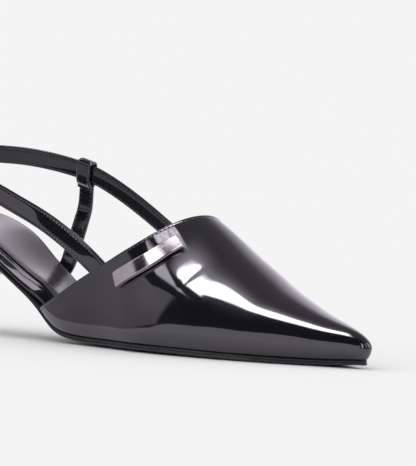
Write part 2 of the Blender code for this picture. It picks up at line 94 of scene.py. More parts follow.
def smoothCurve(table, column, xs=None):
    xs = np.array([row[0] for row in table] if xs is None else xs, float)
    ys = np.array([row[column] for row in table], float)
    step = np.diff(xs)
    rise = np.diff(ys) / step
    slope = np.zeros(len(xs))
    slope[0], slope[-1] = rise[0], rise[-1]
    for k in range(1, len(xs) - 1):
        if rise[k - 1] * rise[k] > 0:
            before = 2 * step[k] + step[k - 1]
            after = step[k] + 2 * step[k - 1]
            slope[k] = (before + after) / (before / rise[k - 1] + after / rise[k])

    def at(x):
        x = float(min(max(x, xs[0]), xs[-1]))
        k = int(min(max(np.searchsorted(xs, x, side="right") - 1, 0), len(step) - 1))
        h = step[k]
        t = (x - xs[k]) / h
        near = (1 + 2 * t) * (1 - t) ** 2 * ys[k] + t * (1 - t) ** 2 * h * slope[k]
        far = t * t * (3 - 2 * t) * ys[k + 1] + t * t * (t - 1) * h * slope[k + 1]
        return near + far

    return at


def turnOf(along):  # stations close up at both round ends
    return math.acos(1 - 2 * min(max(along, 0.0), 1.0)) / math.pi


def alongOf(turn):
    return (1 - math.cos(math.pi * turn)) / 2


def ease(share):
    share = min(max(share, 0.0), 1.0)
    return share * share * (3 - 2 * share)


turnStep = 0.002         # how far a way along the last looks ahead


def unit(vector):
    return vector / np.linalg.norm(vector)


def squareTo(way, vector):  # what is left of a vector square to a way
    return unit(vector - way * np.dot(vector, way))


def facing(vector, hint):  # turned round where it points away from the hint
    return -vector if np.dot(vector, hint) < 0 else vector


outlineTurns = [turnOf(row[0]) for row in last["outline"]]
crestTurns = [turnOf(row[0]) for row in last["crest"]]
outerShare = smoothCurve(last["outline"], 1, outlineTurns)
innerShare = smoothCurve(last["outline"], 2, outlineTurns)
underShare = smoothCurve(last["underside"], 1)
thickShare = smoothCurve(last["underside"], 2)
crestHeight = smoothCurve(last["crest"], 1, crestTurns)
crestSide = smoothCurve(last["crest"], 2, crestTurns)
wideShare = smoothCurve(last["crest"], 3, crestTurns)
openingHeight = smoothCurve(last["opening"], 1)


def widePoint(turn, side):
    share = outerShare(turn) if side < 0 else innerShare(turn)
    return np.array([last["length"] * alongOf(turn), side * last["halfBall"] * share])


def rail(turn, side, inward):  # outline moved inward
    low, high = max(turn - turnStep, 0.0), min(turn + turnStep, 1.0)
    if low == 0.0:
        way = np.array([0.0, side])
    elif high == 1.0:
        way = np.array([0.0, -side])
    else:
        way = widePoint(high, side) - widePoint(low, side)
    way = unit(way)
    return widePoint(turn, side) + np.array([way[1], -way[0]]) * side * inward


def underAt(x):
    return last["heelRise"] * underShare(x / last["length"])


def soleTopAt(x):
    return underAt(x) + last["soleThickness"] * thickShare(x / last["length"])


def skinPoint(turn, angle):  # outer skin of the upper: -90 outer side, 0 crest, 90 inner side
    side = -1 if angle < 0 else 1
    x, wideY = widePoint(turn, side)
    nose = turn > 0.9999
    middle = wideY if nose else last["halfBall"] * crestSide(turn)
    wideZ = soleTopAt(x) + last["gap"] + last["hemRise"] * wideShare(turn)
    top = 0.0 if nose else max(last["throatRise"] * crestHeight(turn) - wideZ, 0.0)
    lean = math.radians(abs(angle))
    return np.array([x, middle + (wideY - middle) * math.sin(lean), wideZ + top * math.cos(lean)])


# Place on the outer skin at a station and height on one side, with its outward way
def onSkin(along, z, side):
    turn = turnOf(along)
    wideZ, top = skinPoint(turn, 90)[2], skinPoint(turn, 0)[2]
    angle = side * math.degrees(math.acos(min(max((z - wideZ) / (top - wideZ), 0.0), 1.0)))
    here = skinPoint(turn, angle)
    normal = unit(np.cross(skinPoint(turn + turnStep, angle) - here, skinPoint(turn, angle + 0.5) - here))
    return here, facing(normal, (0, side, 0))


def tuckAt(turn):
    return last["hemTuck"] * (1 - last["tuckLess"] * ease((turn - 0.88) / 0.12))


def hemPoint(turn, side, depth):  # where the upper turns under to meet the sole
    full = math.radians(last["hemTurn"])
    lean = full * depth
    x, y = rail(turn, side, tuckAt(turn) * (1 - math.cos(lean)) / (1 - math.cos(full)))
    wideX = last["length"] * alongOf(turn)
    rise = last["hemRise"] * wideShare(turn)
    z = soleTopAt(wideX) + last["gap"] + rise - rise * math.sin(lean) / math.sin(full)
    return np.array([x, y, z - (last["gap"] + last["hemPress"]) * depth ** 4])


lowX = last["length"] * last["toplineLow"]
throatX = last["length"] * last["throatPlace"]
lowZ = soleTopAt(lowX) + last["gap"]
throatZ = skinPoint(turnOf(last["throatPlace"]), 0)[2]


def openingAt(x):
    return lowZ + (throatZ - lowZ) * openingHeight((x - lowX) / (throatX - lowX))


def edgeTurn(pointAt):  # turn at which a lengthwise line of the skin meets the opening
    back = turnOf(last["toplineLow"] - 0.06)    # the search starts a little outside both ends
    front = turnOf(last["throatPlace"] + 0.12)
    for _ in range(40):
        half = (back + front) / 2
        point = pointAt(half)
        if point[2] > openingAt(point[0]):
            back = half
        else:
            front = half
    return (back + front) / 2


# The solids stand over the origin; the heel tip says how far the last's own zero lies from it
tipBack = 0.0095
tipLow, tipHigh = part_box("heel_tip")
shift = np.array([tipLow.x - tipBack, (tipLow.y + tipHigh.y) / 2, 0.0])


def startFresh():
    if bpy.context.mode != "OBJECT":
        bpy.ops.object.mode_set(mode="OBJECT")
    bpy.ops.object.select_all(action="DESELECT")


def activate(piece):
    startFresh()
    piece.select_set(True)
    bpy.context.view_layer.objects.active = piece


def editAll(piece):
    activate(piece)
    bpy.ops.object.mode_set(mode="EDIT")
    bpy.ops.mesh.select_all(action="SELECT")


# A grid primitive whose points go where placeAt(i, j) says. Its map holds the place along a seam,
# counted in stitches, and the distance from the edge in millimetres.
def gridPiece(name, columns, rows, placeAt, seamAt=None):
    startFresh()
    bpy.ops.mesh.primitive_grid_add(x_subdivisions=columns, y_subdivisions=rows, size=1)
    piece = bpy.context.object
    piece.name = name
    piece.data.name = name
    cells = []
    for vertex in piece.data.vertices:
        i = round((vertex.co.x + 0.5) * columns)
        j = round((vertex.co.y + 0.5) * rows)
        cells.append((i, j))
        vertex.co = Vector(placeAt(i, j)) + Vector(shift)
    if seamAt:
        layer = piece.data.uv_layers.active
        layer.name = "seam"
        for loop in piece.data.loops:
            layer.data[loop.index].uv = seamAt(*cells[loop.vertex_index])
    return piece


def mergeDoubles(piece):
    editAll(piece)
    bpy.ops.mesh.remove_doubles(threshold=2e-6)
    bpy.ops.mesh.dissolve_degenerate(threshold=1e-7)
    bpy.ops.object.mode_set(mode="OBJECT")


def facesOut(piece):
    editAll(piece)
    bpy.ops.mesh.normals_make_consistent(inside=False)
    bpy.ops.object.mode_set(mode="OBJECT")


# Closed rings joined one after another, both ends filled where they are open
def loftPiece(name, rings, seamAt=None):
    size = len(rings[0])
    seam = seamAt and (lambda i, j: seamAt(i % size, j))
    piece = gridPiece(name, size, len(rings) - 1, lambda i, j: rings[j][i % size], seam)
    mergeDoubles(piece)
    activate(piece)
    bpy.ops.object.mode_set(mode="EDIT")
    bpy.ops.mesh.select_mode(type="EDGE")
    bpy.ops.mesh.select_all(action="DESELECT")
    bpy.ops.mesh.select_non_manifold(extend=False, use_wire=False, use_boundary=True,
                                     use_multi_face=False, use_non_contiguous=False, use_verts=False)
    piece.update_from_editmode()
    if any(edge.select for edge in piece.data.edges):
        bpy.ops.mesh.edge_face_add()
    bpy.ops.mesh.select_mode(type="VERT")
    bpy.ops.object.mode_set(mode="OBJECT")
    facesOut(piece)
    return piece


def smoothOver(piece, levels=1):
    activate(piece)
    over = piece.modifiers.new("smooth", "SUBSURF")
    over.levels = levels
    over.render_levels = levels
    over.boundary_smooth = "PRESERVE_CORNERS"
    bpy.ops.object.modifier_apply(modifier=over.name)
    bpy.ops.object.shade_smooth()
    return piece


def setLooks(piece, *looks):
    piece.data.materials.clear()
    for look in looks:
        piece.data.materials.append(look)


# Finishes
patentFinish = {
    "color": (0.0045, 0.0042, 0.0062, 1),
    "lighter": (0.00765, 0.00693, 0.00992, 1),
    "glow": 0.20,        # roughness of the base, which gives the haze round the lamps
    "clear": 0.028,      # roughness of the lacquer
    "waveSize": 62.0,    # slow waves of the lacquer, per metre
    "waveDepth": 0.000006,
    "peelSize": 520.0,   # fine orange peel
    "peelDepth": 0.0000014,
    "index": 1.8,        # how strongly the lacquer mirrors
    "baseMirror": 0.12,
    "seamDepth": 0.00011,
    "seamWidth": 0.34,   # in millimetres
    "puff": 0.00009,     # swelling between the edge and the seam
}


def newLook(name):
    look = bpy.data.materials.new(name)
    look.use_nodes = True
    return look, look.node_tree, look.node_tree.nodes["Principled BSDF"]


def feed(tree, node, inputs):  # a socket is linked, anything else is set
    for key, value in inputs.items():
        if isinstance(value, bpy.types.NodeSocket):
            tree.links.new(value, node.inputs[key])
        else:
            node.inputs[key].default_value = value


def addNode(tree, kind, inputs=None, **settings):
    node = tree.nodes.new(kind)
    for key, value in settings.items():
        setattr(node, key, value)
    feed(tree, node, inputs or {})
    return node


def mathNode(tree, operation, *values):
    return addNode(tree, "ShaderNodeMath", dict(enumerate(values)), operation=operation).outputs[0]


def chain(tree, operation, values):
    result = values[0]
    for value in values[1:]:
        result = mathNode(tree, operation, result, value)
    return result


def times(tree, *factors):
    return chain(tree, "MULTIPLY", factors)


def plus(tree, *parts):
    return chain(tree, "ADD", parts)


def splitNode(tree, vector):
    return addNode(tree, "ShaderNodeSeparateXYZ", {0: vector}).outputs


def coordsOf(tree, kind="Object"):
    return addNode(tree, "ShaderNodeTexCoord").outputs[kind]


def seamMap(tree):
    return splitNode(tree, addNode(tree, "ShaderNodeUVMap", uv_map="seam").outputs[0])[:2]


def mixNode(tree, factor, first, second, kind="RGBA"):
    inputs = {"Factor": factor, "A": first, "B": second}
    return addNode(tree, "ShaderNodeMix", inputs, data_type=kind).outputs["Result"]


def noiseNode(tree, coords, scale, detail=2.0, roughness=0.5, stretch=None):
    if stretch:
        coords = addNode(tree, "ShaderNodeMapping", {"Vector": coords, "Scale": stretch}).outputs["Vector"]
    inputs = {"Vector": coords, "Scale": scale, "Detail": detail, "Roughness": roughness}
    return addNode(tree, "ShaderNodeTexNoise", inputs).outputs["Fac"]


def rangeNode(tree, value, fromLow, fromHigh, toLow, toHigh, kind="LINEAR"):
    inputs = {"Value": value, "From Min": fromLow, "From Max": fromHigh, "To Min": toLow, "To Max": toHigh}
    node = addNode(tree, "ShaderNodeMapRange", inputs, clamp=True, interpolation_type=kind)
    return node.outputs["Result"]


def bumpNode(tree, height, distance, under=None):
    inputs = {"Height": height, "Distance": distance, "Strength": 1.0}
    if under:
        inputs["Normal"] = under
    return addNode(tree, "ShaderNodeBump", inputs).outputs["Normal"]


# Roughness and color of a look, both uneven as a noise says
def roughBy(tree, noise, low, high):
    return rangeNode(tree, noise, 0.3, 0.7, low, high)


def colorBy(tree, noise, color, dark, light):
    shades = [(*[min(c * share, 1.0) for c in color], 1) for share in (dark, light)]
    return mixNode(tree, noise, *shades)


def bell(tree, square):  # falls from 1 as the square grows
    return mathNode(tree, "EXPONENT", times(tree, square, -1.0))


def gauss(tree, value, middle, width):
    away = mathNode(tree, "DIVIDE", mathNode(tree, "SUBTRACT", value, middle), width)
    return bell(tree, times(tree, away, away))


# Leather drawn in along a seam, deepest at both ends of each stitch, and swollen beside it
def seamNormal(tree, place, under):
    finish = patentFinish
    count, away = seamMap(tree)
    wave = mathNode(tree, "ABSOLUTE", mathNode(tree, "SINE", times(tree, count, math.pi)))
    pinch = mathNode(tree, "SUBTRACT", 1.0, mathNode(tree, "POWER", wave, 0.7))
    line = gauss(tree, away, place, finish["seamWidth"])
    down = times(tree, line, mathNode(tree, "MULTIPLY_ADD", pinch, 0.75, 0.25), -finish["seamDepth"])
    swell = gauss(tree, away, place * 0.5, place * 0.36)
    return bumpNode(tree, mathNode(tree, "MULTIPLY_ADD", swell, finish["puff"], down), 1.0, under)


# Soft crease where the vamp bends, on the outer side under the bar
creaseShape = {
    "along": 0.701,
    "height": 0.567,
    "across": (0.865, 0.026, -0.50),
    "lengthwise": (-0.105, -0.585, -0.80),
    "width": 0.0019,
    "length": 0.0056,
    "depth": 0.000062,
}


def creaseNormal(tree, coords, under):
    shape = creaseShape
    middle, normal = onSkin(shape["along"], last["throatRise"] * shape["height"], -1)
    away = addNode(tree, "ShaderNodeVectorMath", {0: coords, 1: middle + shift}, operation="SUBTRACT")
    squares = []
    for way, size in ((shape["across"], shape["width"]), (shape["lengthwise"], shape["length"])):
        dot = addNode(tree, "ShaderNodeVectorMath", {0: away.outputs[0], 1: way}, operation="DOT_PRODUCT")
        share = mathNode(tree, "DIVIDE", dot.outputs["Value"], size)
        squares.append(times(tree, share, share))
    return bumpNode(tree, times(tree, bell(tree, plus(tree, *squares)), -shape["depth"]), 1.0, under)


def patentLook(name, waveScale=1.0, glow=patentFinish["glow"], seam=None, crease=False):
    finish = patentFinish
    look, tree, shader = newLook(name)
    coords = coordsOf(tree)
    waves = noiseNode(tree, coords, finish["waveSize"], 2.0, 0.45)
    under = bumpNode(tree, waves, finish["waveDepth"] * waveScale)
    if seam:
        under = seamNormal(tree, seam, under)
    if crease:
        under = creaseNormal(tree, coords, under)
    fine = bumpNode(tree, noiseNode(tree, coords, finish["peelSize"]), finish["peelDepth"], under)
    feed(tree, shader, {
        "Base Color": mixNode(tree, noiseNode(tree, coords, 240.0, 3.0), finish["color"], finish["lighter"]),
        "Roughness": roughBy(tree, noiseNode(tree, coords, 95.0, 5.0, 0.6), glow * 0.85, glow * 1.15),
        "IOR": 1.5,
        "Specular IOR Level": finish["baseMirror"],
        "Coat Weight": 1.0,
        "Coat Roughness": finish["clear"],
        "Coat IOR": finish["index"],
        "Normal": fine,
        "Coat Normal": fine,
    })
    return look


def leatherLook(name, color, gloss, grainSize, grainDepth, coat=0.0):
    look, tree, shader = newLook(name)
    coords = coordsOf(tree)
    inputs = {"Vector": coords, "Scale": grainSize, "Smoothness": 0.35}
    cells = addNode(tree, "ShaderNodeTexVoronoi", inputs, feature="SMOOTH_F1")
    cloud = noiseNode(tree, coords, 60.0, 4.0, 0.55)
    speck = noiseNode(tree, coords, grainSize * 1.7, 3.0, 0.6)
    grain = bumpNode(tree, cells.outputs["Distance"], grainDepth)
    feed(tree, shader, {
        "Base Color": colorBy(tree, cloud, color, 0.78, 1.25),
        "Roughness": roughBy(tree, speck, gloss * 0.85, gloss * 1.2),
        "Coat Weight": coat,
        "Coat Roughness": 0.16,
        "Normal": bumpNode(tree, speck, grainDepth * 0.4, grain),
    })
    return look


def metalLook(name, color, gloss):
    look, tree, shader = newLook(name)
    coords = coordsOf(tree)
    wear = noiseNode(tree, coords, 180.0, 4.0, 0.6)
    hair = noiseNode(tree, coords, 900.0, 3.0, 0.6, (0.12, 1.0, 1.0))
    feed(tree, shader, {
        "Base Color": colorBy(tree, wear, color, 0.9, 1.08),
        "Roughness": roughBy(tree, wear, gloss * 0.8, gloss * 1.25),
        "Metallic": 1.0,
        "Normal": bumpNode(tree, hair, 0.0000012),
    })
    return look


def threadLook(name, color):
    look, tree, shader = newLook(name)
    ply = noiseNode(tree, coordsOf(tree), 2600.0)
    feed(tree, shader, {
        "Base Color": colorBy(tree, ply, color, 0.6, 1.5),
        "Roughness": roughBy(tree, ply, 0.32, 0.5),
        "Normal": bumpNode(tree, ply, 0.00004),
    })
    return look


upperPatent = patentLook("upperPatent", seam=1.5, crease=True)
strapPatent = patentLook("strapPatent", 0.8, 0.22, seam=1.3)
rimPatent = patentLook("rimPatent", 1.3, 0.24)
heelPatent = patentLook("heelPatent", 0.7)
liningLeather = leatherLook("liningLeather", (0.030, 0.028, 0.030), 0.42, 1500.0, 0.00004)
sockLeather = leatherLook("sockLeather", (0.050, 0.046, 0.050), 0.24, 1900.0, 0.000012, 1.0)
soleRubber = leatherLook("soleRubber", (0.012, 0.012, 0.013), 0.36, 1100.0, 0.00002, 0.25)
tipRubber = leatherLook("tipRubber", (0.016, 0.016, 0.016), 0.55, 1400.0, 0.00003)
barMetal = metalLook("barMetal", (0.62, 0.575, 0.57), 0.13)
stitchThread = threadLook("stitchThread", (0.050, 0.048, 0.054))
print("finishes made:", len(bpy.data.materials))

stitchShape = {
    "pitch": 0.0020,
    "length": 0.00150,
    "radius": 0.00017,
    "flat": 1.15,        # width as a share of the height
    "blunt": 0.6,
    "droop": 0.35,       # how far both ends go down into the leather
    "sink": 0.00004,
    "slant": 0.03,
}


def alongRow(places, pitch):  # place of each point along a seam, counted in whole stitches
    run = np.concatenate([[0], np.cumsum(np.linalg.norm(np.diff(np.array(places), axis=0), axis=1))])
    return run / run[-1] * max(round(run[-1] / pitch), 1)


# Upper: one wall, patent outside and leather inside
upperShape = {
    "angles": 30,        # lines over the foot from side to side
    "depths": (1.0, 0.74, 0.44, 0.16),
    "rows": 34,
    "spread": 0.2,       # how much wider apart the rows lie toward the point
    "nearEdge": (0.0, 0.0005, 0.0011, 0.0019),  # first rows lie close to the topline
    "levels": 2,         # of smoothing
    "seam": 0.0015,      # the stitch row lies this far under the topline
    "heart": (0.18, 0.0, 0.012),    # a place inside, from which the skin faces away
    "stitchesFrom": 0.0075,         # the topline's row starts at this height
}


def upperLines():
    angles, depths = upperShape["angles"], upperShape["depths"]
    outer = [lambda turn, d=depth: hemPoint(turn, -1, d) for depth in depths]
    over = [lambda turn, a=-90 + 180 * k / angles: skinPoint(turn, a) for k in range(angles + 1)]
    inner = [lambda turn, d=depth: hemPoint(turn, 1, d) for depth in reversed(depths)]
    return outer + over + inner


def makeUpper():
    lines = upperLines()
    rows, near, spread = upperShape["rows"], upperShape["nearEdge"], upperShape["spread"]
    table, seamLine = [], []
    for line in lines:
        start = edgeTurn(line)
        speed = np.linalg.norm(line(start + 2 * turnStep) - line(start)) / (2 * turnStep)
        close = [start + step / speed for step in near]
        seamLine.append(line(start + upperShape["seam"] / speed))
        shares = [(r + 1) / (rows - len(near) + 1) for r in range(rows - len(near) + 1)]
        shares = [share * (1 - spread) + spread * share * share for share in shares]
        close += [close[-1] + (1 - close[-1]) * share for share in shares]
        table.append([line(min(turn, 1.0)) for turn in close])
    stitched = alongRow(seamLine, stitchShape["pitch"])

    def seamAt(i, j):
        return stitched[i], min(np.linalg.norm(table[i][j] - table[i][0]) * 1000, 6.0)

    skin = gridPiece("upper", len(lines) - 1, rows, lambda i, j: table[i][j], seamAt)
    mergeDoubles(skin)
    facesOut(skin)
    heart = Vector(shift) + Vector(upperShape["heart"])
    if sum((face.center - heart).dot(face.normal) for face in skin.data.polygons) < 0:
        skin.data.flip_normals()
    activate(skin)
    wall = skin.modifiers.new("wall", "SOLIDIFY")
    wall.thickness = last["wall"]
    wall.offset = -1
    wall.use_even_offset = True
    wall.material_offset = 1
    wall.material_offset_rim = 0
    setLooks(skin, upperPatent, liningLeather)
    bpy.ops.object.modifier_apply(modifier=wall.name)
    smoothOver(skin, upperShape["levels"])
    return skin, table, stitched


upper, upperTable, upperStitched = makeUpper()
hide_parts("upper")
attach(upper, "root")
print("upper made:", len(upper.data.polygons), "faces")


# Ring across a bottom piece; profile holds (inward, height) from top to bottom
def bottomRing(turn, profile, dish, dishLow, cross=4):
    ring = [(*rail(turn, -1, inward), z) for inward, z in profile]

    def across(pair, sign, drop):
        left = rail(turn, -1, pair[0])
        right = rail(turn, 1, pair[0])
        wide = min(np.linalg.norm(right - left) / last["halfBall"], 1.0)
        for k in range(1, cross):
            share = k / cross if sign > 0 else 1 - k / cross
            x, y = left + (right - left) * share
            ring.append((x, y, pair[1] - drop * wide * math.sin(math.pi * share)))

    across(profile[-1], 1, dishLow)
    ring += [(*rail(turn, 1, inward), z) for inward, z in reversed(profile)]
    across(profile[0], -1, dish)
    return ring


def stations(final, count):  # turns from the heel end on
    return [turnOf(final) * k / count for k in range(count + 1)]


def bottomPiece(name, turns, profileAt, dish=0.0, dishLow=0.0):
    rings = [bottomRing(turn, profileAt(turn, alongOf(turn)), dish, dishLow) for turn in turns]
    return smoothOver(loftPiece(name, rings))


soleShape = {
    "count": 54,
    "crown": 0.0004,
    # inward, share of the thickness, share of the crown
    "profile": [
        (0.0040, 1.00, 0.0), (0.0014, 1.00, 0.0), (0.0007, 0.97, 0.0), (0.0001, 0.86, 0.0),
        (0.0000, 0.66, 0.0), (0.0004, 0.58, 0.0), (0.0004, 0.54, 0.0), (0.0000, 0.46, 0.0),
        (0.0000, 0.16, 1.0), (0.0003, 0.03, 1.0), (0.0012, 0.00, 0.9), (0.0060, 0.00, 0.5),
    ],
}


def soleProfile(turn, along):
    low = underAt(last["length"] * along)
    thick = last["soleThickness"] * thickShare(along)
    edge = tuckAt(turn) - last["soleLip"]
    crown = soleShape["crown"] * ease((0.5 - abs(turn - 0.5)) * 8)
    return [(edge + inward, low + thick * part + crown * bulge)
            for inward, part, bulge in soleShape["profile"]]


outsole = bottomPiece("outsole", stations(1.0, soleShape["count"]), soleProfile)
setLooks(outsole, soleRubber)
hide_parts("outsole")
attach(outsole, "root")

insoleShape = {
    "rim": 0.0070,
    "board": 0.0022,
    "end": 0.960,
    "noseIn": (0.0012, 0.80, 0.12),   # further in toward the point: by, from and over
    "edgeStep": (0.045, 0.03),        # before the topline's low end, and over
    "rimFade": (0.02, 0.16),
    # inward, share of the height, and how much lower
    "profile": [
        (0.0040, 1.00, 0.0001), (0.0034, 1.00, 0.0), (0.0028, 0.98, 0.0), (0.0025, 0.90, 0.0),
        (0.0024, 0.86, 0.0), (0.0021, 0.84, 0.0), (0.0012, 0.64, 0.0), (0.0002, 0.36, 0.0),
        (0.0000, 0.24, 0.0), (0.0002, 0.06, 0.0), (0.0009, 0.00, 0.0), (0.0020, 0.00, 0.0),
    ],
}
sockShape = {
    "end": 0.930,
    "thickness": 0.0009,
    "margin": 0.0034,
    "dish": 0.0008,
    "seam": 0.0015,
    "stitchesTo": 0.62,
    # inward, depth under the top; the stitch row lies in a slight channel
    "profile": [
        (0.0028, 0.0), (0.0019, 0.00004), (0.0015, 0.00016), (0.0011, 0.00004),
        (0.0005, 0.00005), (0.0001, 0.0003), (0.0000, 0.0008), (0.0004, 0.0009),
    ],
}


def insoleEdge(along):
    less, start, over = insoleShape["noseIn"]
    inside = last["hemTuck"] + last["wall"] + 2 * last["gap"] + less * ease((along - start) / over)
    before, over = insoleShape["edgeStep"]
    return last["hemTuck"] + (inside - last["hemTuck"]) * ease((along - last["toplineLow"] + before) / over)


def insoleHeight(along):
    rim, board = insoleShape["rim"], insoleShape["board"]
    before, over = insoleShape["rimFade"]
    return rim + (board - rim) * ease((along - last["toplineLow"] + before) / over)


def insoleProfile(turn, along):
    low = soleTopAt(last["length"] * along) + last["gap"]
    tall, edge = insoleHeight(along), insoleEdge(along)
    return [(edge + inward, low + tall * part - drop) for inward, part, drop in insoleShape["profile"]]


insole = bottomPiece("insole", stations(insoleShape["end"], 50), insoleProfile, sockShape["dish"])
setLooks(insole, rimPatent)
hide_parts("insole")
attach(insole, "root")


def sockTop(along):
    height = insoleHeight(along) + 2 * last["gap"] + sockShape["thickness"]
    return soleTopAt(last["length"] * along) + height


def sockProfile(turn, along):
    edge = insoleEdge(along) + sockShape["margin"]
    return [(edge + inward, sockTop(along) - down) for inward, down in sockShape["profile"]]


sock = bottomPiece("sock", stations(sockShape["end"], 46), sockProfile, sockShape["dish"], sockShape["dish"])
setLooks(sock, sockLeather)
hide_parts("sock")
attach(sock, "root")
print("bottom made: outsole, insole, sock")

slingShape = {
    "width": 0.0086,
    "thickness": 0.0020,
    "lean": 14,
    "turnUp": (10, 0.29, 0.09),   # more lean on the outer side toward the vamp: by, from and over
    "inside": 3.5,                # gaps between the vamp's wall and the strap inside it
    "enters": {-1: 0.450, 1: 0.515},
    # along, height, side
    "path": [
        (0.580, 0.345, -1), (0.556, 0.405, -1), (0.530, 0.475, -1), (0.502, 0.550, -1),
        (0.468, 0.637, -1), (0.434, 0.722, -1), (0.396, 0.810, -1), (0.357, 0.891, -1),
        (0.318, 0.958, -1), (0.278, 1.020, -1), (0.238, 1.084, -1), (0.180, 1.168, -1),
        (0.110, 1.250, -1), (0.050, 1.310, -1), (0.015, 1.345, -1), (0.000, 1.368, 1),
        (0.015, 1.385, 1), (0.050, 1.398, 1), (0.110, 1.394, 1), (0.170, 1.372, 1),
        (0.225, 1.338, 1), (0.270, 1.300, 1), (0.304, 1.262, 1), (0.345, 1.193, 1),
        (0.392, 1.100, 1), (0.447, 0.978, 1), (0.490, 0.875, 1), (0.525, 0.790, 1),
        (0.560, 0.705, 1), (0.590, 0.630, 1),
    ],
    # along, outer, inner
    "plan": [
        (0.000, 0.000, 0.000), (0.012, 0.250, 0.250), (0.031, 0.417, 0.417), (0.071, 0.556, 0.556),
        (0.125, 0.620, 0.620), (0.235, 0.640, 0.650), (0.353, 0.650, 0.645), (0.440, 0.664, 0.620),
        (0.530, 0.740, 0.585), (0.600, 0.800, 0.640),
    ],
}


def slingStops():
    shape = slingShape
    outer, inner = smoothCurve(shape["plan"], 1), smoothCurve(shape["plan"], 2)
    places = []
    for along, height, side in shape["path"]:
        z = last["throatRise"] * height
        y = last["halfBall"] * (inner(along) if side > 0 else -outer(along))
        inside = ease((along - shape["enters"][side]) / 0.05)
        if inside > 0:
            wall, normal = onSkin(along, z, side)
            lie = wall - normal * (last["wall"] + last["gap"] * shape["inside"] + shape["thickness"] / 2)
            y = y + (lie[1] - y) * inside
        places.append((last["length"] * along, y, z))
    rows = [(k, *place) for k, place in enumerate(places)]
    axes = [smoothCurve(rows, column) for column in (1, 2, 3)]
    backRow = [row[0] for row in shape["path"]].index(0.0)
    more, start, over = shape["turnUp"]
    stops, flip = [], 0

    def at(s):
        return np.array([axis(s) for axis in axes])

    for k in range(3 * (len(places) - 1) + 1):
        s = k / 3
        here = at(s)
        way = unit(at(s + 0.25) - at(s - 0.25))
        out = np.array([way[1], -way[0], 0.0])
        flip = flip or (1 if out[1] < 0 else -1)
        out = unit(out) * flip
        side = -1 if s < backRow else 1
        along = here[0] / last["length"]
        tilt = math.radians(shape["lean"] + more * ease((along - start) / over) * (side < 0))
        out = unit(out * math.cos(tilt) + np.array([0.0, 0.0, math.sin(tilt)]))
        inside = ease((along - shape["enters"][side] - 0.005) / 0.06)
        if inside > 0:
            wall, normal = onSkin(along, here[2], side)
            out = unit(out * (1 - inside) + normal * inside)
        out = squareTo(way, out)
        stops.append((here, out, facing(unit(np.cross(way, out)), (0, 0, 1))))
    # even out the frames a little, so that the lacquer shows no kinks
    for _ in range(3):
        kept = list(stops)
        for k in range(1, len(kept) - 1):
            here, out, wide = [kept[k - 1][n] + weight * kept[k][n] + kept[k + 1][n]
                               for n, weight in enumerate((6, 2, 2))]
            stops[k] = (here / 8, unit(out), unit(wide))
    return stops


# Strap of two folded layers: a seam runs along the middle of each edge, and its faces swell a little
def strapSection(shape, swell=0.00012):
    w, t = shape["width"] / 2, shape["thickness"] / 2
    edge = [(-w + 0.00012, -0.00008), (-w, t * 0.30), (-w + 0.00006, t * 0.66), (-w + 0.0004, t * 0.95),
            (-w + 0.0010, t + swell * 0.2), (-w * 0.45, t + swell)]
    half = edge + [(0.0, t + swell)] + [(-a, b) for a, b in reversed(edge)]
    return half + [(a, -b * 0.98) for a, b in reversed(half[1:-1])]


def sweepPiece(name, stops, section):
    rings = [[tuple(centre + wide * a + out * b) for a, b in section] for centre, out, wide in stops]
    stitched = alongRow([stop[0] for stop in stops], stitchShape["pitch"])
    half = max(a for a, b in section)

    def seamAt(i, j):
        return stitched[j], (half - abs(section[i][0])) * 1000

    return smoothOver(loftPiece(name, rings, seamAt)), stitched


slingPath = slingStops()
sling, slingStitched = sweepPiece("slingStrap", slingPath, strapSection(slingShape))
setLooks(sling, strapPatent)
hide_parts("sling_strap")
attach(sling, "root")
print("sling strap made")

# Side strap: from the insole's edge up, over the sling strap and down again behind it
sideShape = {
    "width": 0.0088,
    "thickness": 0.0012,
    "crossX": 0.0720,
    "footX": 0.0630,
    "under": (0.0120, 0.0030, 0.0014),   # places under the sling strap, where both layers lie close
    "rise": (0.2, 0.4, 0.6, 0.8),        # places between its foot and the lowest of those
    "stitched": (5, 22),                 # its stitches run between these two of all its finer places
}


def sideStops():
    shape = sideShape
    best = min((stop for stop in slingPath if stop[0][1] > 0),
               key=lambda stop: abs(stop[0][0] - shape["crossX"]))
    centre, out, wide = best
    gap, thick = last["gap"], shape["thickness"]
    way = facing(unit(np.cross(out, wide)), (1, 0, 0))
    half = slingShape["width"] / 2
    reach = slingShape["thickness"] / 2 + gap + thick / 2
    high = half + gap + thick / 2
    apart = thick / 2 + gap / 2
    footAlong = shape["footX"] / last["length"]
    footXY = rail(turnOf(footAlong), 1, insoleEdge(footAlong) - gap * 3 - thick / 2)
    foot = np.array([*footXY, soleTopAt(shape["footX"]) + gap * 2])
    slope = (soleTopAt(shape["footX"] + 0.002) - soleTopAt(shape["footX"] - 0.002)) / 0.004
    alongSole = unit(np.array([1.0, 0.0, slope]))
    rim = foot + unit(np.array([-slope, 0.0, 1.0])) * insoleShape["rim"] * 0.8

    # way up and way out from the sling strap's middle, on the outer layer and mirrored on the inner one
    over = [(-high - under, apart) for under in shape["under"]]
    over += [(-high * 0.85, reach), (0.0, reach + 0.0001), (half - 0.0002, reach)]
    over += [(high * 0.98, reach * 0.72), (high + 0.0001, 0.0)]
    over += [(up, -away) for up, away in reversed(over[1:-1])]
    loop = [centre + wide * up + out * away for up, away in over]
    path = [foot, rim]
    for share in shape["rise"]:
        here = rim + (loop[0] - rim) * share
        here[0] = rim[0] + (loop[0][0] - rim[0]) * math.sin(share * math.pi / 2)
        path.append(here)
    path += loop
    stops = []
    for k, here in enumerate(path):
        before, after = path[max(k - 1, 0)], path[min(k + 1, len(path) - 1)]
        run = unit(after - before)
        share = min(k / 6, 1.0)
        across = squareTo(run, alongSole * (1 - share) + way * share)
        stops.append((here, unit(np.cross(run, across)), across))
    return stops


